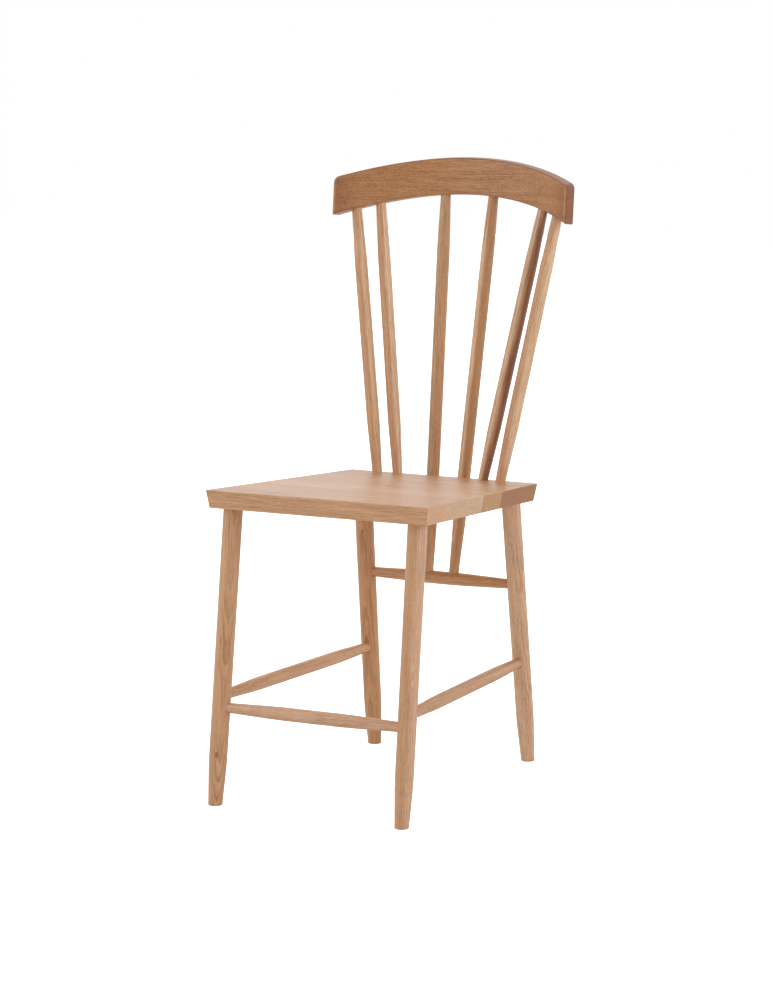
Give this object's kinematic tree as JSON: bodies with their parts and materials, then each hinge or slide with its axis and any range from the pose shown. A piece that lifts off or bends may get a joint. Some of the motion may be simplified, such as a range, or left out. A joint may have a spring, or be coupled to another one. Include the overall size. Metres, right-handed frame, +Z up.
{
  "type": "windsor chair",
  "caption": "Armless dining chair in solid oak: sloping plank seat, splayed turned legs with stretchers, and a raked back of turned spindles under a curved crest rail.",
  "frame": {"origin": "on the floor, below the middle of the chair's box", "axes": "+Z up, the chair faces -Y, +X to the right for someone who looks at its front"},
  "size_m": [0.4004, 0.568, 0.9308],
  "materials": {
    "seat": "satin oiled oak, pale, grain from left to right",
    "crest": "satin oiled oak, fine straight grain along the rail",
    "legs": "satin oiled oak, grain along the leg",
    "stretchers": "satin oiled oak, grain along the rail",
    "spindles": "satin oiled oak, grain along the spindle"
  },
  "bodies": {
    "root": {"seat_board_1": "seat", "seat_board_2": "seat", "seat_board_3": "seat", "seat_board_4": "seat", "seat_board_5": "seat", "seat_board_6": "seat", "leg_front_left": "legs", "leg_back_left": "legs", "spindle_outer_left": "spindles", "spindle_inner_left": "spindles", "spindle_centre_left": "spindles", "leg_front_right": "legs", "leg_back_right": "legs", "spindle_outer_right": "spindles", "spindle_inner_right": "spindles", "spindle_centre_right": "spindles", "front_stretcher": "stretchers", "left_stretcher": "stretchers", "right_stretcher": "stretchers", "back_rail": "stretchers", "crest_rail": "crest"}
  },
  "joints": []
}
